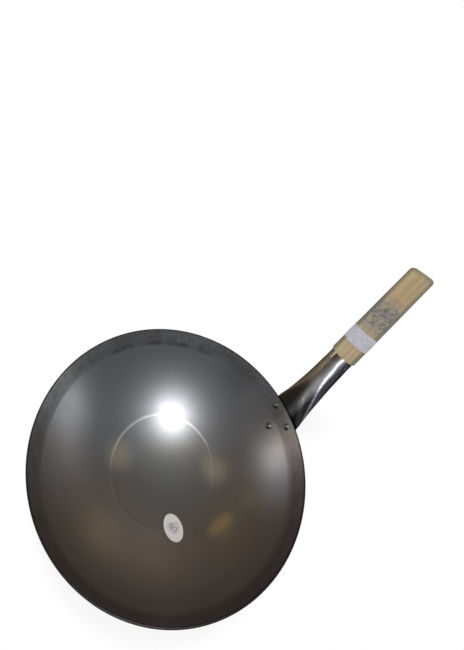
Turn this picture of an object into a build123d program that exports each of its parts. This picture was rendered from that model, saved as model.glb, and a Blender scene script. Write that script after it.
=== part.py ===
from build123d import *
from math import asin, cos, hypot, pi, radians, sin
import os

# Carbon steel wok with a round bottom and a socket handle with a wooden grip.
# Millimetres and degrees. The origin is the lowest point of the bottom's underside,
# +Z points out of the bowl's mouth and +X towards the handle.

os.makedirs("parts", exist_ok=True)

# Bowl
rim_diameter = 356.0
bowl_height = 104.3
bowl_sheet = 1.6
band_width = 26.0
band_rise = 58.0
band_blend = 40.0
edge_round = 0.5
ring_diameter = 150.5
ring_line_round = 6.0
ring_line_depth = 0.2

# Handle socket, a rolled tube whose end is pressed flat on the wall
handle_rise = 64.5
socket_sheet = 1.5
mouth_diameter = 31.0
barrel_length = 122.0
base_width = 54.0
seat_gap = 0.15
seam_gap = 0.8
seam_start = 34.0
flange_top = 2.0

# Rivets
rivet_shank = 5.0
rivet_head = 9.0
rivet_head_height = 2.4
rivet_fit = 0.15
rivet_rise = 0.1
upper_rivet_drop = 12.0
lower_rivet_drop = 38.5
upper_rivet_spacing = 34.0
flange_margin = 9.5

# Wooden grip
grip_length = 154.5
shoulder_diameter = 34.4
grip_end_diameter = 30.4
shoulder_round = 1.2
grip_end_round = 6.0
tenon_length = 42.0
tenon_taper = 1.6
tenon_fit = 0.15

# Nail that keeps the grip in the socket
nail_shank = 3.0
nail_length = 15.0
nail_point = 4.0
nail_head = 7.0
nail_head_height = 1.3
nail_fit = 0.15
nail_turn = 40.0

# Paper labels, the oval one with its length and width as seen from above
paper = 0.2
paper_gap = 0.1
bowl_label_length = 34.4
bowl_label_width = 22.8
bowl_label_radius = 73.7
bowl_label_azimuth = 270.8
bowl_label_turn = 97.4
grip_label_setback = 25.0
grip_label_width = 23.0
grip_label_wrap = 200.0
grip_label_turn = 111.0

overrun = 2.0

# Cross sections of the barrel: place along it from the rim, share of the widening from
# the mouth to the base, and share of the depth from the pressed sheets to the full tube
barrel_shares = (
    (1.0, 0.0, 1.0),
    (0.86, 0.01, 1.0),
    (0.68, 0.1, 0.97),
    (0.5, 0.26, 0.84),
    (0.34, 0.46, 0.62),
    (0.2, 0.65, 0.38),
    (0.09, 0.85, 0.16),
    (0.04, 0.94, 0.065),
    (0.0, 0.98, -0.01),
    (-0.05, 0.94, -0.05),
)
nail_station = barrel_shares[1]
section_points = 24

# Frame of the flange, on the outer face of the straight band at the rim
band_slope = radians(band_rise)
band_up = Vector(cos(band_slope), 0, sin(band_slope))
band_out = Vector(sin(band_slope), 0, -cos(band_slope))
rim_radius = rim_diameter / 2
rim_edge = Vector(rim_radius, 0, bowl_height - bowl_sheet * cos(band_slope))
seat_plane = Plane(origin=rim_edge, x_dir=band_up, z_dir=band_out)
cone_radius = rim_radius / sin(band_slope)
pressed = 2 * socket_sheet

# Frame of the handle, which starts between the pressed sheets at the rim and rises a little
# more steeply than the band
rise = radians(handle_rise)
along = Vector(cos(rise), 0, sin(rise))
outward = Vector(sin(rise), 0, -cos(rise))
handle_foot = rim_edge + band_out * (seat_gap + pressed / 2)
mouth_radius = mouth_diameter / 2
mouth_centre = handle_foot + along * barrel_length
grip_axis = Axis(mouth_centre, along)
grip_plane = Plane(origin=mouth_centre, x_dir=along, z_dir=(0, 1, 0))

# Outer line of the bowl from the rim to the middle of the bottom: x is the radius and
# y the height. The wall and bottom are part of a sphere that touches the origin.
foot_x = rim_radius - band_width * cos(band_slope)
foot_y = rim_edge.Z - band_width * sin(band_slope)
sphere_radius = (foot_x**2 + foot_y**2) / (2 * foot_y)
middle_slope = asin(foot_x / sphere_radius) / 2
with BuildLine() as outer_line:
    band = Line((rim_radius, rim_edge.Z), (foot_x, foot_y))
    wall = ThreePointArc(
        (foot_x, foot_y),
        (sphere_radius * sin(middle_slope), sphere_radius * (1 - cos(middle_slope))),
        (0, 0),
    )
    band_foot = outer_line.vertices().sort_by_distance((foot_x, foot_y))[0]
    fillet(band_foot, radius=band_blend)


def wall_layer(near, far, side):
    """Section of a layer that follows the bowl's outer line, between two distances from it."""
    with BuildSketch(Plane.XZ) as layer:
        with BuildLine():
            add(outer_line.line)
            offset(amount=far, side=side)
        make_face()
        if near > 0:
            with BuildLine():
                add(outer_line.line)
                offset(amount=near, side=side)
            make_face(mode=Mode.SUBTRACT)
    return layer.sketch


def wall_plane(drop, across):
    """Plane on the bowl's outer face: drop is measured down the wall from the rim, across
    from the handle's centre plane. Its x points up the wall and its z away from the bowl."""
    edge, length = (band, drop) if drop < band_width else (wall, drop - band_width)
    place = edge.position_at(length, position_mode=PositionMode.LENGTH)
    down = edge.tangent_at(length, position_mode=PositionMode.LENGTH)
    turn = across / place.X
    spoke = Vector(cos(turn), sin(turn), 0)
    return Plane(
        origin=spoke * place.X + Vector(0, 0, place.Y),
        x_dir=spoke * -down.X + Vector(0, 0, -down.Y),
        z_dir=spoke * -down.Y + Vector(0, 0, down.X),
    )


def axis_plane(seat):
    """Plane that holds a seat plane's normal as its x, for turning a profile round it."""
    return Plane(origin=seat.origin, x_dir=seat.z_dir, z_dir=seat.x_dir)


def barrel_section(station, shrink):
    """Plane and outline points of the barrel at one station, shrunk by a wall thickness."""
    place_share, widening_share, depth_share = station
    width = mouth_diameter + widening_share * (base_width - mouth_diameter)
    depth = pressed + depth_share * (mouth_diameter - pressed)
    bend = (1 - depth_share) * (width / 2) ** 2 / (2 * cone_radius)
    centre = handle_foot + along * (place_share * barrel_length)
    points = []
    for count in range(section_points):
        turn = 2 * pi * count / section_points
        half_width = (width / 2 - shrink) * cos(turn)
        half_depth = (depth / 2 - shrink) * sin(turn)
        points.append((half_width, half_depth + bend * cos(turn) ** 2))
    return Plane(origin=centre, x_dir=(0, 1, 0), z_dir=along), points


rivet_seats = [
    wall_plane(lower_rivet_drop, 0),
    wall_plane(upper_rivet_drop, upper_rivet_spacing / 2),
    wall_plane(upper_rivet_drop, -upper_rivet_spacing / 2),
]

# Nail seat on the barrel, on the side that faces away from the bowl
nail_place, nail_widening, nail_depth = nail_station
nail_half_width = (mouth_diameter + nail_widening * (base_width - mouth_diameter)) / 2
nail_half_depth = (pressed + nail_depth * (mouth_diameter - pressed)) / 2
nail_side = sin(radians(nail_turn))
nail_back = cos(radians(nail_turn))
nail_radius = 1 / hypot(nail_side / nail_half_width, nail_back / nail_half_depth)
nail_normal = outward * nail_back + Vector(0, nail_side, 0)
nail_centre = handle_foot + along * (nail_place * barrel_length)
nail_seat = Plane(origin=nail_centre + nail_normal * nail_radius, x_dir=along, z_dir=nail_normal)

# Bowl: spun sheet with a round bottom and wall, a straighter band at the rim, and a shallow
# ring line turned in its inner face round the bottom
with BuildPart() as bowl:
    revolve(wall_layer(0, bowl_sheet, Side.RIGHT), axis=Axis.Z)
    inner_radius = sphere_radius - bowl_sheet
    ring_slope = asin(ring_diameter / 2 / inner_radius)
    line_reach = inner_radius + ring_line_depth - ring_line_round
    with BuildSketch(Plane.XZ):
        line_height = sphere_radius - line_reach * cos(ring_slope)
        with Locations((line_reach * sin(ring_slope), line_height)):
            Circle(ring_line_round)
    revolve(axis=Axis.Z, mode=Mode.SUBTRACT)
    rim_edges = bowl.edges().filter_by(GeomType.CIRCLE).sort_by(Axis.Z)[-2:]
    fillet(rim_edges, radius=edge_round)
    for seat in rivet_seats:
        with BuildSketch(seat):
            Circle(rivet_shank / 2 + rivet_fit)
        extrude(amount=bowl_sheet + overrun, both=True, mode=Mode.SUBTRACT)
bowl.part.label = "bowl"
export_step(bowl.part, "parts/bowl.step")

# Handle socket: flange that follows the wall, barrel, cavity, seam and holes
with BuildPart() as handle_socket:
    with BuildSketch(seat_plane):
        with Locations((-lower_rivet_drop, 0)):
            Circle(flange_margin)
        with Locations(
            (-upper_rivet_drop, upper_rivet_spacing / 2),
            (-upper_rivet_drop, -upper_rivet_spacing / 2),
        ):
            Circle(flange_margin)
        with Locations((-flange_top - flange_margin / 2, 0)):
            Rectangle(flange_margin, base_width)
        make_hull()
    extrude(amount=base_width / 2, both=True)
    revolve(wall_layer(seat_gap, seat_gap + pressed, Side.LEFT), axis=Axis.Z, mode=Mode.INTERSECT)
    for station in barrel_shares:
        section_plane, outline = barrel_section(station, 0)
        with BuildSketch(section_plane):
            with BuildLine():
                Spline(*outline, periodic=True)
            make_face()
    loft()
    past_mouth = (1 + overrun / barrel_length,) + barrel_shares[0][1:]
    for station in (past_mouth,) + tuple(row for row in barrel_shares if row[0] > 0):
        section_plane, outline = barrel_section(station, socket_sheet)
        with BuildSketch(section_plane):
            with BuildLine():
                Spline(*outline, periodic=True)
            make_face()
    loft(mode=Mode.SUBTRACT)
    with BuildSketch(grip_plane):
        with Locations((overrun, 0)):
            Rectangle(
                barrel_length - seam_start + overrun,
                mouth_diameter,
                align=(Align.MAX, Align.MIN),
            )
    extrude(amount=seam_gap / 2, both=True, mode=Mode.SUBTRACT)
    for seat in rivet_seats:
        with BuildSketch(seat):
            Circle(rivet_shank / 2 + rivet_fit)
        extrude(amount=pressed + overrun, both=True, mode=Mode.SUBTRACT)
    with BuildSketch(nail_seat):
        Circle(nail_shank / 2 + nail_fit)
    extrude(amount=socket_sheet + overrun, both=True, mode=Mode.SUBTRACT)
handle_socket.part.label = "handle_socket"
export_step(handle_socket.part, "parts/handle_socket.step")

# Rivets: domed head inside the bowl, shank, and a like head on the flange
with BuildPart() as rivets:
    inner_base = -bowl_sheet - rivet_rise
    inner_top = inner_base - rivet_head_height
    outer_base = seat_gap + pressed + rivet_rise
    outer_top = outer_base + rivet_head_height
    for seat in rivet_seats:
        with BuildSketch(axis_plane(seat)) as rivet_profile:
            with BuildLine():
                TangentArc((inner_top, 0), (inner_base, rivet_head / 2), tangent=(0, 1))
                Polyline(
                    (inner_base, rivet_head / 2),
                    (inner_base, rivet_shank / 2),
                    (outer_base, rivet_shank / 2),
                    (outer_base, rivet_head / 2),
                )
                TangentArc((outer_top, 0), (outer_base, rivet_head / 2), tangent=(0, 1))
                Line((outer_top, 0), (inner_top, 0))
            make_face()
        revolve(axis=Axis(seat.origin, seat.z_dir))
rivets.part.label = "rivets"
export_step(rivets.part, "parts/rivets.step")

# Wooden grip: turned, with a shoulder on the socket's mouth and a tapered tenon inside
with BuildPart() as wooden_grip:
    tenon_radius = mouth_radius - socket_sheet - tenon_fit
    shoulder_radius = shoulder_diameter / 2
    end_radius = grip_end_diameter / 2
    with BuildSketch(grip_plane):
        with BuildLine():
            Polyline(
                (-tenon_length, 0),
                (-tenon_length, tenon_radius - tenon_taper),
                (0, tenon_radius),
                (0, shoulder_radius),
                (grip_length, end_radius),
                (grip_length, 0),
                close=True,
            )
        make_face()
    revolve(axis=grip_axis)
    shoulder_rings = wooden_grip.edges().filter_by(GeomType.CIRCLE).group_by(grip_axis)[1]
    fillet(shoulder_rings.sort_by(SortBy.RADIUS)[-1], radius=shoulder_round)
    end_ring = wooden_grip.edges().filter_by(GeomType.CIRCLE).sort_by(grip_axis)[-1]
    fillet(end_ring, radius=grip_end_round)
    with BuildSketch(nail_seat):
        Circle(nail_shank / 2 + nail_fit)
    extrude(amount=-nail_length - overrun, mode=Mode.SUBTRACT)
wooden_grip.part.label = "wooden_grip"
export_step(wooden_grip.part, "parts/wooden_grip.step")

# Nail: domed head on the socket, shank and point in the tenon
with BuildPart() as grip_nail:
    with BuildSketch(axis_plane(nail_seat)):
        with BuildLine():
            TangentArc((nail_fit + nail_head_height, 0), (nail_fit, nail_head / 2), tangent=(0, 1))
            Polyline(
                (nail_fit, nail_head / 2),
                (nail_fit, nail_shank / 2),
                (nail_point - nail_length, nail_shank / 2),
                (-nail_length, 0),
                (nail_fit + nail_head_height, 0),
            )
        make_face()
    revolve(axis=Axis(nail_seat.origin, nail_normal))
grip_nail.part.label = "grip_nail"
export_step(grip_nail.part, "parts/grip_nail.step")

# Oval paper label that lies across the ring line
label_spoke = radians(bowl_label_azimuth)
with BuildPart() as bowl_label:
    with BuildSketch():
        with Locations((bowl_label_radius * cos(label_spoke), bowl_label_radius * sin(label_spoke))):
            Ellipse(bowl_label_length / 2, bowl_label_width / 2, rotation=bowl_label_turn)
    extrude(amount=bowl_height / 2)
    label_near = bowl_sheet + paper_gap
    revolve(wall_layer(label_near, label_near + paper, Side.RIGHT), axis=Axis.Z, mode=Mode.INTERSECT)
bowl_label.part.label = "bowl_label"
export_step(bowl_label.part, "parts/bowl_label.step")

# Paper label wrapped part of the way round the grip
taper = (end_radius - shoulder_radius) / grip_length
label_start_radius = shoulder_radius + taper * grip_label_setback + paper_gap
label_end_radius = label_start_radius + taper * grip_label_width
label_turn = radians(grip_label_turn)
label_normal = Vector(0, cos(label_turn), 0) - outward * sin(label_turn)
with BuildPart() as grip_label:
    with BuildSketch(Plane(origin=mouth_centre, x_dir=along, z_dir=label_normal)):
        with BuildLine():
            Polyline(
                (grip_label_setback, label_start_radius),
                (grip_label_setback + grip_label_width, label_end_radius),
                (grip_label_setback + grip_label_width, label_end_radius + paper),
                (grip_label_setback, label_start_radius + paper),
                close=True,
            )
        make_face()
    revolve(axis=grip_axis, revolution_arc=grip_label_wrap)
grip_label.part.label = "grip_label"
export_step(grip_label.part, "parts/grip_label.step")
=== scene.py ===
import math

import bpy
from mathutils import Matrix, Vector

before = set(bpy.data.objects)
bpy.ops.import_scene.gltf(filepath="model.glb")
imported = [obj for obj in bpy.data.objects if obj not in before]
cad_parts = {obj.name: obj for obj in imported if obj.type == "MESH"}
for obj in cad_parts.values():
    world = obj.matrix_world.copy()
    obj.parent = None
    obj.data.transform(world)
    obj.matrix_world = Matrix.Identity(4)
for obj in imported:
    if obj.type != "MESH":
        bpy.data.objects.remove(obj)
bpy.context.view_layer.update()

# The handle in metres: the way it points, the direction across it that runs from its side with
# a painted brown reflection to its side with a painted blue-black reflection, the place where
# the wood starts, and its size
HANDLE_RISE = math.radians(64.5)
HANDLE_TILT = math.pi / 2 - HANDLE_RISE
ALONG = Vector((math.cos(HANDLE_RISE), 0.0, math.sin(HANDLE_RISE)))
ACROSS = Vector((0.460, -0.860, -0.220))
SHOULDER = Vector((0.23192, 0.0, 0.21270))
HANDLE_RADIUS = 0.0155
GRIP_LENGTH = 0.1545

# The bowl in metres: the sphere of its inner face, its sheet, and radii from its axis
SPHERE_RADIUS = 0.2047
SPHERE_HEIGHT = 0.2063
SHEET = 0.0016
RING_RADIUS = 0.0753
RING_HALF_WIDTH = 0.0028
BAND_FOOT_RADIUS = 0.1640
BAND_FOOT_HALF_WIDTH = 0.0036
BAND_BLEND = 0.004
CUT_EDGE = (0.1754, 0.1763)

# How much of the wall's rise counts in the spacing of the spun lines, and how far the line
# wanders, in metres, along which the bowl's painted reflection turns from bluish to brown
SPUN_RISE_SHARE = 0.6
REFLECTION_WANDER = 0.05

# The sockets of a Mix node that hold its colours
FIRST_COLOUR = 6
SECOND_COLOUR = 7
MIXED_COLOUR = 2


def on_bowl(across, forward):
    """The point of the bowl's inner face above a point of the ground."""
    depth = math.sqrt(SPHERE_RADIUS**2 - across**2 - forward**2)
    return (across, forward, SPHERE_HEIGHT - depth)


def new_node(tree, kind, inputs=None, **settings):
    """A node with its settings, and its inputs given as values or as sockets to link from."""
    node = tree.nodes.new(kind)
    for name, value in settings.items():
        setattr(node, name, value)
    for key, value in (inputs or {}).items():
        socket = node.inputs[key]
        if isinstance(value, bpy.types.NodeSocket):
            tree.links.new(value, socket)
        else:
            socket.default_value = value
    return node


def math_node(tree, operation, first, second=0.0, third=0.0, clamp=False):
    """The result of one Math node."""
    node = new_node(tree, "ShaderNodeMath", {0: first, 1: second, 2: third},
                    operation=operation, use_clamp=clamp)
    return node.outputs[0]


def multiply(tree, first, second):
    """The product of two masks or values."""
    return math_node(tree, "MULTIPLY", first, second)


def ramp_between(tree, value, low, high, out_low=0.0, out_high=1.0):
    """A smooth step from out_low, where value is at low, to out_high, where it is at high."""
    node = new_node(tree, "ShaderNodeMapRange",
                    {"Value": value, "From Min": low, "From Max": high,
                     "To Min": out_low, "To Max": out_high},
                    interpolation_type="SMOOTHSTEP", clamp=True)
    return node.outputs[0]


def blend_colour(tree, share, first, second):
    """The first colour where share is 0, and the second where it is 1."""
    node = new_node(tree, "ShaderNodeMix",
                    {"Factor": share, FIRST_COLOUR: first, SECOND_COLOUR: second},
                    data_type="RGBA")
    return node.outputs[MIXED_COLOUR]


def lay_over(tree, colour, tint, mask, share=None):
    """A colour with a tint laid over it as far as a mask says, or by a share of that."""
    if share is not None:
        mask = multiply(tree, mask, share)
    return blend_colour(tree, mask, colour, tint)


def noise_at(tree, place, scale, detail, roughness=0.5):
    """Soft noise about a place, mostly between 0.3 and 0.7."""
    node = new_node(tree, "ShaderNodeTexNoise", {"Vector": place, "Scale": scale,
                                                 "Detail": detail, "Roughness": roughness})
    return node.outputs[0]


def distance_from(tree, place, point):
    """How far a place is from a point, in metres."""
    node = new_node(tree, "ShaderNodeVectorMath", {0: place, 1: point}, operation="DISTANCE")
    return node.outputs["Value"]


def distance_along(tree, place, origin, direction):
    """How far a place is from an origin in metres, measured along a direction."""
    moved = new_node(tree, "ShaderNodeVectorMath", {0: place, 1: origin}, operation="SUBTRACT")
    node = new_node(tree, "ShaderNodeVectorMath", {0: moved.outputs[0], 1: direction},
                    operation="DOT_PRODUCT")
    return node.outputs["Value"]


def soft_spot(tree, place, centre, size):
    """A round soft patch about a point, 1 at its middle and 0 past its size."""
    away = distance_from(tree, place, centre)
    return ramp_between(tree, away, 0.0, size, out_low=1.0, out_high=0.0)


def line_mask(tree, value, centre, reach):
    """A soft line where value is at centre, 1 at its middle and 0 past its reach."""
    away = math_node(tree, "ABSOLUTE", math_node(tree, "SUBTRACT", value, centre))
    return ramp_between(tree, away, 0.0, reach, out_low=1.0, out_high=0.0)


def new_group(name, inputs, outputs):
    """A shader group that takes a Position and float inputs, each named with its default, and
    gives out floats. It comes with the sockets to read from and to link to."""
    group = bpy.data.node_groups.new(name, "ShaderNodeTree")
    group.interface.new_socket("Position", in_out="INPUT", socket_type="NodeSocketVector")
    for label, value in inputs.items():
        socket = group.interface.new_socket(label, in_out="INPUT",
                                            socket_type="NodeSocketFloat")
        socket.default_value = value
    for label in outputs:
        group.interface.new_socket(label, in_out="OUTPUT", socket_type="NodeSocketFloat")
    given = group.nodes.new("NodeGroupInput").outputs
    results = group.nodes.new("NodeGroupOutput").inputs
    return group, given, results


def use_group(tree, group, inputs):
    """A shader group placed in a material, with its own values."""
    return new_node(tree, "ShaderNodeGroup", inputs, node_tree=group)


def make_mottle_group():
    """Cloudy tone: a broad patchiness with finer specks in it, as a mask from 0 to 1."""
    group, given, results = new_group("cloudy_film", {"Broad Scale": 12.0, "Fine Scale": 90.0,
                                                      "Fine Share": 0.35}, ("Mask",))
    broad = noise_at(group, given["Position"], given["Broad Scale"], detail=3.0, roughness=0.55)
    fine = noise_at(group, given["Position"], given["Fine Scale"], detail=4.0, roughness=0.65)
    mixed = new_node(group, "ShaderNodeMix", {"Factor": given["Fine Share"], "A": broad,
                                              "B": fine}).outputs["Result"]
    group.links.new(ramp_between(group, mixed, 0.3, 0.7), results["Mask"])
    return group


def make_spun_group():
    """Fine concentric lines round the Z axis, as left by forming the sheet on a turning tool.
    They are spaced along the wall, so that its rise counts too."""
    group, given, results = new_group("spun_lines", {"Lines per Metre": 500.0,
                                                     "Waviness": 3.0}, ("Lines", "Radius"))
    x, y, z = new_node(group, "ShaderNodeSeparateXYZ", {0: given["Position"]}).outputs
    flat = new_node(group, "ShaderNodeCombineXYZ", {0: x, 1: y}).outputs[0]
    radius = new_node(group, "ShaderNodeVectorMath", {0: flat},
                      operation="LENGTH").outputs["Value"]
    path = math_node(group, "ADD", radius, multiply(group, z, SPUN_RISE_SHARE))
    lines = multiply(group, path, given["Lines per Metre"])
    waves = new_node(group, "ShaderNodeVectorMath", {0: flat, "Scale": given["Waviness"]},
                     operation="SCALE").outputs[0]
    wave_x, wave_y = new_node(group, "ShaderNodeSeparateXYZ", {0: waves}).outputs[:2]
    place = new_node(group, "ShaderNodeCombineXYZ", {0: lines, 1: wave_x, 2: wave_y}).outputs[0]
    group.links.new(noise_at(group, place, scale=1.0, detail=3.0, roughness=0.6),
                    results["Lines"])
    group.links.new(radius, results["Radius"])
    return group


def make_scratch_group():
    """Sparse fine scratches in two crossing directions, as a mask."""
    group, given, results = new_group("fine_scratches", {"Scale": 60.0, "Amount": 0.5},
                                      ("Mask",))
    ways = []
    for turn in (0.4, 1.9):
        laid = new_node(group, "ShaderNodeMapping",
                        {"Vector": given["Position"], "Rotation": (0.3, 0.2, turn),
                         "Scale": (1.0, 14.0, 6.0)}).outputs[0]
        noise = noise_at(group, laid, given["Scale"], detail=2.0)
        ways.append(ramp_between(group, noise, 0.66, 0.74))
    crossed = math_node(group, "MAXIMUM", *ways)
    group.links.new(multiply(group, crossed, given["Amount"]), results["Mask"])
    return group


def make_fibre_group():
    """Paper: fine fibres in a soft tone."""
    group, given, results = new_group("paper_fibres", {"Scale": 900.0}, ("Tone",))
    fibres = noise_at(group, given["Position"], given["Scale"], detail=5.0, roughness=0.7)
    group.links.new(fibres, results["Tone"])
    return group


CLOUDY = make_mottle_group()
SPUN = make_spun_group()
SCRATCHES = make_scratch_group()
FIBRES = make_fibre_group()


def clouds_at(tree, place, broad, fine, share):
    """The cloudy tone in a material, with the scales of its patches and of its specks."""
    return use_group(tree, CLOUDY, {"Position": place, "Broad Scale": broad,
                                    "Fine Scale": fine, "Fine Share": share}).outputs["Mask"]


def scratches_at(tree, place, scale, amount):
    """Fine scratches in a material."""
    return use_group(tree, SCRATCHES, {"Position": place, "Scale": scale,
                                       "Amount": amount}).outputs["Mask"]


def new_material(name, **constants):
    """A material with one Principled shader, its constants set on its own sockets."""
    material = bpy.data.materials.new(name)
    material.use_nodes = True
    tree = material.node_tree
    shader = tree.nodes["Principled BSDF"]
    for key, value in constants.items():
        shader.inputs[key.replace("_", " ")].default_value = value
    place = new_node(tree, "ShaderNodeTexCoord").outputs["Object"]
    return material, tree, shader, place


def add_bump(tree, shader, height, strength, distance):
    """A fine relief, from a height between 0 and 1 over a distance in metres."""
    bump = new_node(tree, "ShaderNodeBump", {"Strength": strength, "Distance": distance,
                                             "Height": height})
    tree.links.new(bump.outputs[0], shader.inputs["Normal"])


def add_roughness(tree, shader, clouds, base, spread):
    """A roughness that rises from its base by up to a spread with the cloudy tone."""
    rough = math_node(tree, "MULTIPLY_ADD", clouds, spread, base)
    tree.links.new(rough, shader.inputs["Roughness"])


# The bowl's steel with painted reflections: bluish on the far side, browner near, with a few
# yellow patches
FAR_STEEL_BLUE_REFLECTION = (0.230, 0.238, 0.250, 1)
NEAR_STEEL_BROWN_REFLECTION = (0.190, 0.145, 0.108, 1)
FILM_TINT = (0.100, 0.098, 0.098, 1)
# Painted reflections laid as spots: yellow, gold, brown and beige patches, lighter bands on the
# right, a darker middle and darker patches towards the handle
YELLOW_REFLECTION = (0.42, 0.33, 0.15, 1)
GOLD_REFLECTION = (0.58, 0.38, 0.13, 1)
BROWN_REFLECTION = (0.27, 0.185, 0.090, 1)
BEIGE_REFLECTION = (0.46, 0.42, 0.32, 1)
DARK_REFLECTION = (0.085, 0.078, 0.070, 1)
LIGHT_BAND_REFLECTION = (0.265, 0.268, 0.275, 1)
DARKER_MIDDLE_REFLECTION = (0.180, 0.188, 0.184, 1)
SPUN_TINT = (0.30, 0.30, 0.31, 1)
BOWL_SCRATCH = (0.40, 0.40, 0.40, 1)
# Painted highlight on the ring line
RING_PAINTED_HIGHLIGHT = (0.55, 0.55, 0.56, 1)
BAND_FOOT_TINT = (0.03, 0.03, 0.032, 1)
NEAR_BAND_BROWN_REFLECTION = (0.150, 0.105, 0.105, 1)
DULL_TINT = (0.070, 0.066, 0.066, 1)
CUT_EDGE_TINT = (0.020, 0.019, 0.018, 1)

# Each painted reflection spot: its place seen from above and its size in metres, its share, its
# tint
REFLECTION_SPOTS = (
    ((0.002, -0.008), 0.095, 0.70, DARKER_MIDDLE_REFLECTION),
    ((0.0560, -0.106), 0.045, 0.28, BROWN_REFLECTION),
    ((0.0580, -0.087), 0.024, 0.40, YELLOW_REFLECTION),
    ((0.0665, -0.0828), 0.014, 0.55, GOLD_REFLECTION),
    ((0.0573, -0.0860), 0.014, 0.50, GOLD_REFLECTION),
    ((0.0480, -0.0893), 0.013, 0.35, GOLD_REFLECTION),
    ((0.072, -0.078), 0.050, 0.15, YELLOW_REFLECTION),
    ((-0.0636, 0.0226), 0.024, 0.50, YELLOW_REFLECTION),
    ((0.0855, -0.0202), 0.022, 0.35, YELLOW_REFLECTION),
    ((0.099, -0.0714), 0.020, 0.20, YELLOW_REFLECTION),
    ((-0.091, -0.073), 0.045, 0.25, YELLOW_REFLECTION),
    ((-0.062, 0.024), 0.032, 0.65, BEIGE_REFLECTION),
    ((0.072, -0.010), 0.026, 0.55, BEIGE_REFLECTION),
    ((0.074, -0.024), 0.026, 0.65, BEIGE_REFLECTION),
    ((0.142, -0.047), 0.050, 0.65, LIGHT_BAND_REFLECTION),
    ((0.130, -0.077), 0.045, 0.65, LIGHT_BAND_REFLECTION),
    ((0.165, 0.0), 0.060, 0.75, DARK_REFLECTION),
    ((0.140, 0.085), 0.050, 0.35, DARK_REFLECTION),
)

# Where each change across the bowl starts and is complete, in metres towards its far side
REFLECTION_TURN = (0.08, -0.10)
RING_HIGHLIGHT_SPAN = (-0.010, 0.045)
FAR_FOOT = (0.11, 0.155)
NEAR_BAND_REFLECTION_SPAN = (-0.03, -0.13)


def inner_face(tree, place):
    """1 on the bowl's inner face and 0 on its outer one, changing within the sheet."""
    reach = distance_from(tree, place, (0.0, 0.0, SPHERE_HEIGHT))
    return ramp_between(tree, reach, SPHERE_RADIUS + SHEET * 0.25,
                        SPHERE_RADIUS + SHEET * 0.75, out_low=1.0, out_high=0.0)


def reflection_and_film_colour(tree, place, forward, clouds, inside):
    """The steel's painted reflection, bluish turning to brown along a wavy line, its painted
    reflection spots, and the film's cloudy tone.
    """
    wave = math_node(tree, "MULTIPLY_ADD", clouds, REFLECTION_WANDER, -REFLECTION_WANDER / 2)
    turned = ramp_between(tree, math_node(tree, "ADD", forward, wave), *REFLECTION_TURN)
    # Painted reflection: bluish on the far side, brown on the near side
    colour = blend_colour(tree, turned, FAR_STEEL_BLUE_REFLECTION, NEAR_STEEL_BROWN_REFLECTION)
    # Lays the painted reflection spots over the steel
    for centre, size, share, tint in REFLECTION_SPOTS:
        spot = multiply(tree, soft_spot(tree, place, on_bowl(*centre), size), share)
        colour = lay_over(tree, colour, tint, multiply(tree, spot, inside))
    return lay_over(tree, colour, FILM_TINT, clouds, share=0.2)


def paint_ring_highlight(tree, colour, radius, forward, inside):
    """A painted highlight on the ring line, most on its far half."""
    line = line_mask(tree, radius, RING_RADIUS, RING_HALF_WIDTH)
    # Painted highlight on the ring line, strongest on its far half
    painted_highlight = multiply(tree, line, ramp_between(tree, forward, *RING_HIGHLIGHT_SPAN, out_high=0.8))
    return lay_over(tree, colour, RING_PAINTED_HIGHLIGHT, multiply(tree, painted_highlight, inside))


def mark_band(tree, colour, place, radius, forward):
    """A broken dark line at the foot of the far band, a painted redder reflection on the near
    band, and dull marks.
    """
    patchy = noise_at(tree, place, scale=38.0, detail=2.0)
    grain = noise_at(tree, place, scale=210.0, detail=3.0)
    foot = multiply(tree, line_mask(tree, radius, BAND_FOOT_RADIUS, BAND_FOOT_HALF_WIDTH),
                    ramp_between(tree, forward, *FAR_FOOT))
    broken = multiply(tree, foot, ramp_between(tree, patchy, 0.40, 0.60, out_low=0.1,
                                               out_high=0.55))
    colour = lay_over(tree, colour, BAND_FOOT_TINT, broken)
    in_band = ramp_between(tree, radius, BAND_FOOT_RADIUS, BAND_FOOT_RADIUS + BAND_BLEND)
    near = multiply(tree, in_band, ramp_between(tree, forward, *NEAR_BAND_REFLECTION_SPAN, out_high=0.7))
    # Painted brown reflection on the near band
    colour = lay_over(tree, colour, NEAR_BAND_BROWN_REFLECTION, near)
    dull = math_node(tree, "ADD", ramp_between(tree, patchy, 0.38, 0.62, out_high=0.18),
                     ramp_between(tree, grain, 0.42, 0.62, out_high=0.30))
    return lay_over(tree, colour, DULL_TINT, multiply(tree, in_band, dull))


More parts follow.
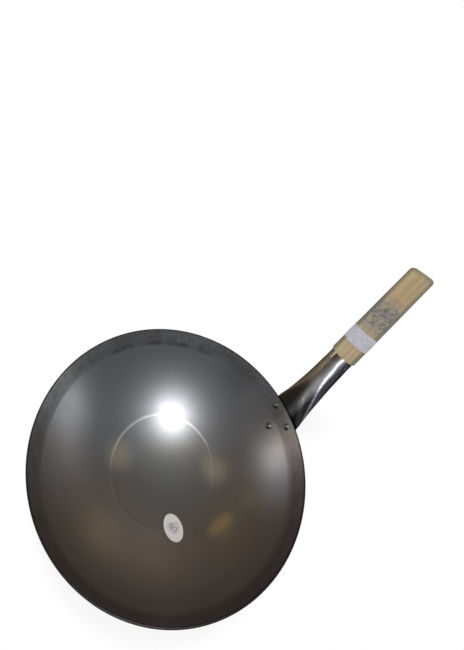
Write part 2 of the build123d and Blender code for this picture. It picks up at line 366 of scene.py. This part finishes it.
def make_bowl_steel():
    """Finely lined steel under an oil film, with painted reflections, a painted highlight on
    its ring line, its band and its cut edge.
    """
    material, tree, shader, place = new_material("oiled_bowl_steel", Metallic=0.85,
                                                 Specular_Tint=(0.5, 0.5, 0.5, 1))
    spun = use_group(tree, SPUN, {"Position": place, "Lines per Metre": 620.0,
                                  "Waviness": 5.0}).outputs
    clouds = clouds_at(tree, place, broad=11.0, fine=160.0, share=0.3)
    scratches = scratches_at(tree, place, scale=45.0, amount=0.6)
    forward = new_node(tree, "ShaderNodeSeparateXYZ", {0: place}).outputs["Y"]
    inside = inner_face(tree, place)
    colour = reflection_and_film_colour(tree, place, forward, clouds, inside)
    fine_lines = ramp_between(tree, spun["Lines"], 0.45, 0.8, out_high=0.12)
    colour = lay_over(tree, colour, SPUN_TINT, fine_lines)
    colour = lay_over(tree, colour, BOWL_SCRATCH, scratches, share=0.15)
    colour = paint_ring_highlight(tree, colour, spun["Radius"], forward, inside)
    colour = mark_band(tree, colour, place, spun["Radius"], forward)
    cut_edge = ramp_between(tree, spun["Radius"], *CUT_EDGE, out_high=0.85)
    colour = lay_over(tree, colour, CUT_EDGE_TINT, cut_edge)
    tree.links.new(colour, shader.inputs["Base Color"])
    add_roughness(tree, shader, clouds, base=0.350, spread=0.05)
    add_bump(tree, shader, spun["Lines"], strength=0.1, distance=0.0002)
    return material


# The socket's steel, drawn along the tube, with painted reflections on its two sides and a
# painted highlight between them, and where its two sides meet, in metres across it
SOCKET_BROWN_REFLECTION = (0.150, 0.115, 0.078, 1)
SOCKET_BLUE_BLACK_REFLECTION = (0.030, 0.035, 0.046, 1)
SOCKET_PAINTED_HIGHLIGHT = (0.48, 0.48, 0.50, 1)
SOCKET_FILM = (0.060, 0.050, 0.040, 1)
SOCKET_LINES = (0.30, 0.30, 0.31, 1)
SOCKET_SCRATCH = (0.35, 0.35, 0.35, 1)
DRAWN_LINE_SCALE = (900, 900, 25)
SIDES_MEET = (0.001, 0.009)
HIGHLIGHT_LINE_AT = HANDLE_RADIUS * 0.12
HIGHLIGHT_LINE_REACH = HANDLE_RADIUS * 0.55


def make_socket_steel():
    """Painted reflections, brown on the side of the bowl and blue-black on the other, and a
    painted highlight between.
    """
    material, tree, shader, place = new_material("drawn_socket_steel", Metallic=1.0,
                                                 Specular_Tint=(0.25, 0.25, 0.25, 1))
    drawn = new_node(tree, "ShaderNodeMapping",
                     {"Vector": place, "Rotation": (0, -HANDLE_TILT, 0),
                      "Scale": DRAWN_LINE_SCALE}).outputs[0]
    lines = noise_at(tree, drawn, scale=1.0, detail=2.0)
    clouds = clouds_at(tree, place, broad=30.0, fine=240.0, share=0.4)
    scratches = scratches_at(tree, place, scale=80.0, amount=0.6)
    across = distance_along(tree, place, SHOULDER, ACROSS)
    # Painted reflections: brown on one side of the socket, blue-black on the other
    colour = blend_colour(tree, ramp_between(tree, across, *SIDES_MEET), SOCKET_BROWN_REFLECTION,
                          SOCKET_BLUE_BLACK_REFLECTION)
    # Painted highlight along the socket
    painted_highlight = line_mask(tree, across, HIGHLIGHT_LINE_AT, HIGHLIGHT_LINE_REACH)
    colour = lay_over(tree, colour, SOCKET_PAINTED_HIGHLIGHT, painted_highlight, share=0.9)
    colour = lay_over(tree, colour, SOCKET_FILM, clouds, share=0.35)
    fine_lines = ramp_between(tree, lines, 0.4, 0.75, out_high=0.15)
    colour = lay_over(tree, colour, SOCKET_LINES, fine_lines)
    colour = lay_over(tree, colour, SOCKET_SCRATCH, scratches, share=0.15)
    tree.links.new(colour, shader.inputs["Base Color"])
    add_roughness(tree, shader, clouds, base=0.24, spread=0.08)
    add_bump(tree, shader, lines, strength=0.06, distance=0.0001)
    return material


# The steel of the rivets and the nail, which is darker where its tone is cloudy
RIVET_STEEL = (0.17, 0.165, 0.155, 1)
NAIL_STEEL = (0.32, 0.32, 0.32, 1)
FIXING_SCRATCH = (0.6, 0.6, 0.6, 1)
CLOUDED_SHARE = 0.55


def make_fixing_steel(name, tone, rough):
    """Cloudy steel with bright scratches, for a piece a few millimetres across."""
    material, tree, shader, place = new_material(name, Metallic=1.0)
    clouds = clouds_at(tree, place, broad=150.0, fine=700.0, share=0.4)
    scratches = scratches_at(tree, place, scale=220.0, amount=0.7)
    clouded = tuple(value * CLOUDED_SHARE for value in tone[:3]) + (1,)
    colour = lay_over(tree, tone, clouded, clouds)
    colour = lay_over(tree, colour, FIXING_SCRATCH, scratches)
    tree.links.new(colour, shader.inputs["Base Color"])
    add_roughness(tree, shader, clouds, base=rough, spread=0.15)
    add_bump(tree, shader, clouds, strength=0.15, distance=0.0002)
    return material


# The grip's wood, and in metres from its shoulder the middles of its grey and its warm
# stretch and the span of its darker end. Its sides are darkened with painted shade by their
# distance across it.
PALE_WOOD = (0.48, 0.385, 0.220, 1)
RING_WOOD = (0.40, 0.305, 0.165, 1)
WARM_WOOD = (0.44, 0.265, 0.125, 1)
WOOD_PORE = (0.22, 0.145, 0.07, 1)
WOOD_FILM = (0.25, 0.21, 0.14, 1)
HANDLED_DARK = (0.150, 0.140, 0.125, 1)
HANDLED_PALE = (0.255, 0.240, 0.240, 1)
WOOD_SIDE_SHADE = (0.095, 0.085, 0.050, 1)
DARKER_END_WOOD = (0.130, 0.110, 0.065, 1)
HANDLED_AT = 0.078
WARM_AT = 0.112
STRETCH_REACH = 0.040
SHADED_SIDES = (HANDLE_RADIUS * 0.60, HANDLE_RADIUS * 1.02)
DARKER_END_SPAN = (GRIP_LENGTH - 0.009, GRIP_LENGTH)
RING_STRETCH = (1.0, 1.0, 0.07)
PORE_SCALE = (1200.0, 1200.0, 60.0)


def wood_rings(tree, laid):
    """Growth rings that run along the grip, bent a little by noise."""
    stretched = new_node(tree, "ShaderNodeMapping",
                         {"Vector": laid, "Scale": RING_STRETCH}).outputs[0]
    noise = new_node(tree, "ShaderNodeTexNoise",
                     {"Vector": stretched, "Scale": 45.0, "Detail": 3.0}).outputs["Color"]
    bend = new_node(tree, "ShaderNodeVectorMath", {0: noise, "Scale": 0.012},
                    operation="SCALE").outputs[0]
    bent = new_node(tree, "ShaderNodeVectorMath", {0: stretched, 1: bend},
                    operation="ADD").outputs[0]
    rings = new_node(tree, "ShaderNodeTexWave", {"Vector": bent, "Scale": 55.0,
                                                 "Distortion": 1.5, "Detail": 2.0,
                                                 "Detail Scale": 2.0}, bands_direction="X")
    return rings.outputs["Fac"]


def grey_with_handling(tree, colour, laid, down_grip):
    """The blotchy grey that hands leave about the grip's middle."""
    blotches = noise_at(tree, laid, scale=110.0, detail=3.0)
    worn = noise_at(tree, laid, scale=230.0, detail=2.0)
    handled = multiply(tree, line_mask(tree, down_grip, HANDLED_AT, STRETCH_REACH),
                       ramp_between(tree, blotches, 0.36, 0.62, out_low=0.45))
    handled = math_node(tree, "MULTIPLY", handled, 1.3, clamp=True)
    grey = blend_colour(tree, ramp_between(tree, worn, 0.38, 0.62), HANDLED_DARK, HANDLED_PALE)
    return lay_over(tree, colour, grey, handled)


def make_grip_wood():
    """Pale turned wood with its grain along the grip, handled grey about its middle and warmer
    towards its end, with painted shade along its sides."""
    material, tree, shader, place = new_material("turned_pale_wood", Roughness=0.5,
                                                 Specular_IOR_Level=0.4)
    laid = new_node(tree, "ShaderNodeMapping",
                    {"Vector": place, "Location": SHOULDER, "Rotation": (0, HANDLE_TILT, 0)},
                    vector_type="TEXTURE").outputs[0]
    down_grip = new_node(tree, "ShaderNodeSeparateXYZ", {0: laid}).outputs["Z"]
    pore_place = new_node(tree, "ShaderNodeMapping",
                          {"Vector": laid, "Scale": PORE_SCALE}).outputs[0]
    pores = noise_at(tree, pore_place, scale=1.0, detail=3.0)
    clouds = clouds_at(tree, laid, broad=28.0, fine=150.0, share=0.25)
    colour = blend_colour(tree, wood_rings(tree, laid), PALE_WOOD, RING_WOOD)
    warm = line_mask(tree, down_grip, WARM_AT, STRETCH_REACH)
    colour = lay_over(tree, colour, WARM_WOOD, warm, share=0.35)
    open_pores = ramp_between(tree, pores, 0.5, 0.75, out_high=0.35)
    colour = lay_over(tree, colour, WOOD_PORE, open_pores)
    colour = lay_over(tree, colour, WOOD_FILM, clouds, share=0.25)
    colour = grey_with_handling(tree, colour, laid, down_grip)
    across = math_node(tree, "ABSOLUTE", distance_along(tree, place, SHOULDER, ACROSS))
    # Painted shade along both sides of the grip
    side_shade = ramp_between(tree, across, *SHADED_SIDES, out_high=0.85)
    colour = lay_over(tree, colour, WOOD_SIDE_SHADE, side_shade)
    # Darker towards the grip's end
    darker_end = ramp_between(tree, down_grip, *DARKER_END_SPAN, out_high=0.7)
    colour = lay_over(tree, colour, DARKER_END_WOOD, darker_end)
    tree.links.new(colour, shader.inputs["Base Color"])
    add_bump(tree, shader, pores, strength=0.15, distance=0.0002)
    return material


# The labels' paper, and in metres where the soft mark on each lies and how far it reaches
OVAL_PALE = (0.66, 0.64, 0.62, 1)
OVAL_DIM = (0.54, 0.52, 0.50, 1)
OVAL_MARK_AT = on_bowl(0.001, -0.0737)
OVAL_MARK_REACH = 0.0105
WRAPPED_PALE = (0.58, 0.575, 0.64, 1)
WRAPPED_DIM = (0.47, 0.465, 0.52, 1)
WRAPPED_MARK_AT = SHOULDER + ALONG * 0.040
WRAPPED_MARK_REACH = 0.040
MARK_GREY = (0.20, 0.20, 0.21, 1)


def make_paper(name, pale, dim, mark_at, mark_reach, mark_share):
    """Paper with fine fibres and a soft grey print that shows no words."""
    material, tree, shader, place = new_material(name, Roughness=0.6, Specular_IOR_Level=0.35)
    tone = use_group(tree, FIBRES, {"Position": place, "Scale": 900.0}).outputs["Tone"]
    blots = noise_at(tree, place, scale=300.0, detail=2.0)
    spot = ramp_between(tree, soft_spot(tree, place, mark_at, mark_reach), 0.0, 0.5)
    mark = multiply(tree, spot, ramp_between(tree, blots, 0.40, 0.56, out_high=mark_share))
    colour = blend_colour(tree, tone, pale, dim)
    colour = lay_over(tree, colour, MARK_GREY, mark)
    tree.links.new(colour, shader.inputs["Base Color"])
    add_bump(tree, shader, tone, strength=0.2, distance=0.0001)
    return material


def dress(name, material):
    """Gives a CAD node its material."""
    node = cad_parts[name]
    if not node.material_slots:
        node.data.materials.append(material)
    for slot in node.material_slots:
        slot.material = material


dress("bowl", make_bowl_steel())
dress("handle_socket", make_socket_steel())
dress("rivets", make_fixing_steel("rivet_steel_face", RIVET_STEEL, rough=0.36))
dress("grip_nail", make_fixing_steel("nail_steel_face", NAIL_STEEL, rough=0.35))
dress("wooden_grip", make_grip_wood())
dress("bowl_label", make_paper("oval_paper", OVAL_PALE, OVAL_DIM, OVAL_MARK_AT,
                               OVAL_MARK_REACH, mark_share=0.7))
dress("grip_label", make_paper("wrapped_paper", WRAPPED_PALE, WRAPPED_DIM, WRAPPED_MARK_AT,
                               WRAPPED_MARK_REACH, mark_share=0.25))


# The studio: a white floor just under the bowl, and a world that is white where it is seen
WHITE = (1, 1, 1, 1)
FLOOR_SIZE = 60.0
FLOOR_GAP = 0.0005
SHADOW_FILL = 0.9
WORLD_LIGHT = 0.22
HORIZON_TOP = 0.12

# Each distant lamp: name, compass angle and height in degrees, apparent width and strength
DISTANT_LAMPS = (
    ("overhead_lamp", -103, 82, 9.0, 2.4),
    ("handle_side_lamp", 4, 13, 20.0, 0.34),
    ("near_side_lamp", 24, 12, 18.0, 0.10),
    ("far_side_lamp", 138, 12, 16.0, 0.50),
)
LAMP_DISTANCE = 2.0

# The square lamp that faces the handle, in metres and watts
HANDLE_LAMP_TARGET = SHOULDER - ALONG * 0.060
HANDLE_LAMP_AWAY = Vector((-0.562, -0.820, -0.108))
HANDLE_LAMP_SIZE = 0.22
HANDLE_LAMP_POWER = 2.2

# The camera, fitted to the photograph: its place in metres, the directions of its right side
# and of its back, its lens and sensor in millimetres, and the shift of the photograph's frame
CAMERA_PLACE = Vector((-0.11603, -0.27246, 0.54223))
CAMERA_RIGHT = Vector((0.96122, -0.22264, 0.16276))
CAMERA_BACK = Vector((-0.27067, -0.87479, 0.40184))
CAMERA_LENS = 18.277
CAMERA_SENSOR = 36.0
CAMERA_SHIFT = (0.0692, -0.1692)


def seen_by_mirrors(tree):
    """1 for the rays that metal or glass sends on, and 0 for all others."""
    path = new_node(tree, "ShaderNodeLightPath").outputs
    return math_node(tree, "MAXIMUM", path["Is Glossy Ray"], path["Is Transmission Ray"])


def seen_directly(tree):
    """1 for camera rays and 0 for all others."""
    return new_node(tree, "ShaderNodeLightPath").outputs["Is Camera Ray"]


def make_floor():
    """A white floor that keeps a pale shadow, and that can't be seen from below."""
    bpy.ops.object.select_all(action="DESELECT")
    bpy.ops.mesh.primitive_plane_add(size=FLOOR_SIZE, location=(0, 0, -FLOOR_GAP))
    floor = bpy.context.object
    floor.name = "floor"
    material = bpy.data.materials.new("floor_white")
    material.use_nodes = True
    tree = material.node_tree
    tree.nodes.remove(tree.nodes["Principled BSDF"])
    matt = new_node(tree, "ShaderNodeBsdfDiffuse", {"Color": WHITE}).outputs[0]
    white = new_node(tree, "ShaderNodeEmission", {"Color": WHITE, "Strength": 1.0}).outputs[0]
    seen = math_node(tree, "MAXIMUM", seen_directly(tree), seen_by_mirrors(tree))
    share = multiply(tree, seen, SHADOW_FILL)
    top = new_node(tree, "ShaderNodeMixShader", {0: share, 1: matt, 2: white}).outputs[0]
    clear = new_node(tree, "ShaderNodeBsdfTransparent").outputs[0]
    below = new_node(tree, "ShaderNodeNewGeometry").outputs["Backfacing"]
    both = new_node(tree, "ShaderNodeMixShader", {0: below, 1: top, 2: clear}).outputs[0]
    tree.links.new(both, tree.nodes["Material Output"].inputs["Surface"])
    floor.data.materials.append(material)


def make_world():
    """White to the camera, and to metal as far up as the horizon reaches. Above it, and for
    everything else, a softer even light."""
    world = bpy.data.worlds.new("studio")
    bpy.context.scene.world = world
    world.use_nodes = True
    tree = world.node_tree
    back = tree.nodes["Background"]
    back.inputs["Color"].default_value = WHITE
    way = new_node(tree, "ShaderNodeTexCoord").outputs["Generated"]
    height = new_node(tree, "ShaderNodeSeparateXYZ", {0: way}).outputs["Z"]
    horizon = ramp_between(tree, height, 0.0, HORIZON_TOP, out_low=1.0, out_high=0.0)
    mirrored = multiply(tree, seen_by_mirrors(tree), horizon)
    seen = math_node(tree, "MAXIMUM", seen_directly(tree), mirrored)
    strength = math_node(tree, "MULTIPLY_ADD", seen, 1.0 - WORLD_LIGHT, WORLD_LIGHT)
    tree.links.new(strength, back.inputs["Strength"])


def place_lamp(name, data, place, back):
    """A lamp at a place, with its back to a direction."""
    lamp = bpy.data.objects.new(name, data)
    bpy.context.scene.collection.objects.link(lamp)
    lamp.location = place
    lamp.rotation_euler = back.to_track_quat("Z", "Y").to_euler()


def add_distant_lamp(name, azimuth, elevation, width, strength):
    """A soft lamp at a great distance, seen at a compass direction and an apparent width."""
    turn = math.radians(azimuth)
    rise = math.radians(elevation)
    way = Vector((math.cos(rise) * math.cos(turn), math.cos(rise) * math.sin(turn),
                  math.sin(rise)))
    data = bpy.data.lights.new(name, "SUN")
    data.angle = math.radians(width)
    data.energy = strength
    place_lamp(name, data, way * LAMP_DISTANCE, way)


def add_square_lamp(name, target, away, size, power):
    """A square lamp that stands off a target by a vector and faces it."""
    data = bpy.data.lights.new(name, "AREA")
    data.size = size
    data.energy = power
    place_lamp(name, data, target + away, away)


def make_camera():
    """The camera at the photograph's viewing angle."""
    data = bpy.data.cameras.new("camera")
    data.sensor_width = CAMERA_SENSOR
    data.lens = CAMERA_LENS
    data.shift_x, data.shift_y = CAMERA_SHIFT
    camera = bpy.data.objects.new("camera", data)
    bpy.context.scene.collection.objects.link(camera)
    up = CAMERA_BACK.cross(CAMERA_RIGHT)
    turn = Matrix((CAMERA_RIGHT, up, CAMERA_BACK)).transposed().to_4x4()
    camera.matrix_world = Matrix.Translation(CAMERA_PLACE) @ turn
    bpy.context.scene.camera = camera


make_floor()
make_world()
for lamp in DISTANT_LAMPS:
    add_distant_lamp(*lamp)
add_square_lamp("handle_lamp", HANDLE_LAMP_TARGET, HANDLE_LAMP_AWAY, HANDLE_LAMP_SIZE,
                HANDLE_LAMP_POWER)
make_camera()
bpy.context.scene.view_settings.view_transform = "Standard"
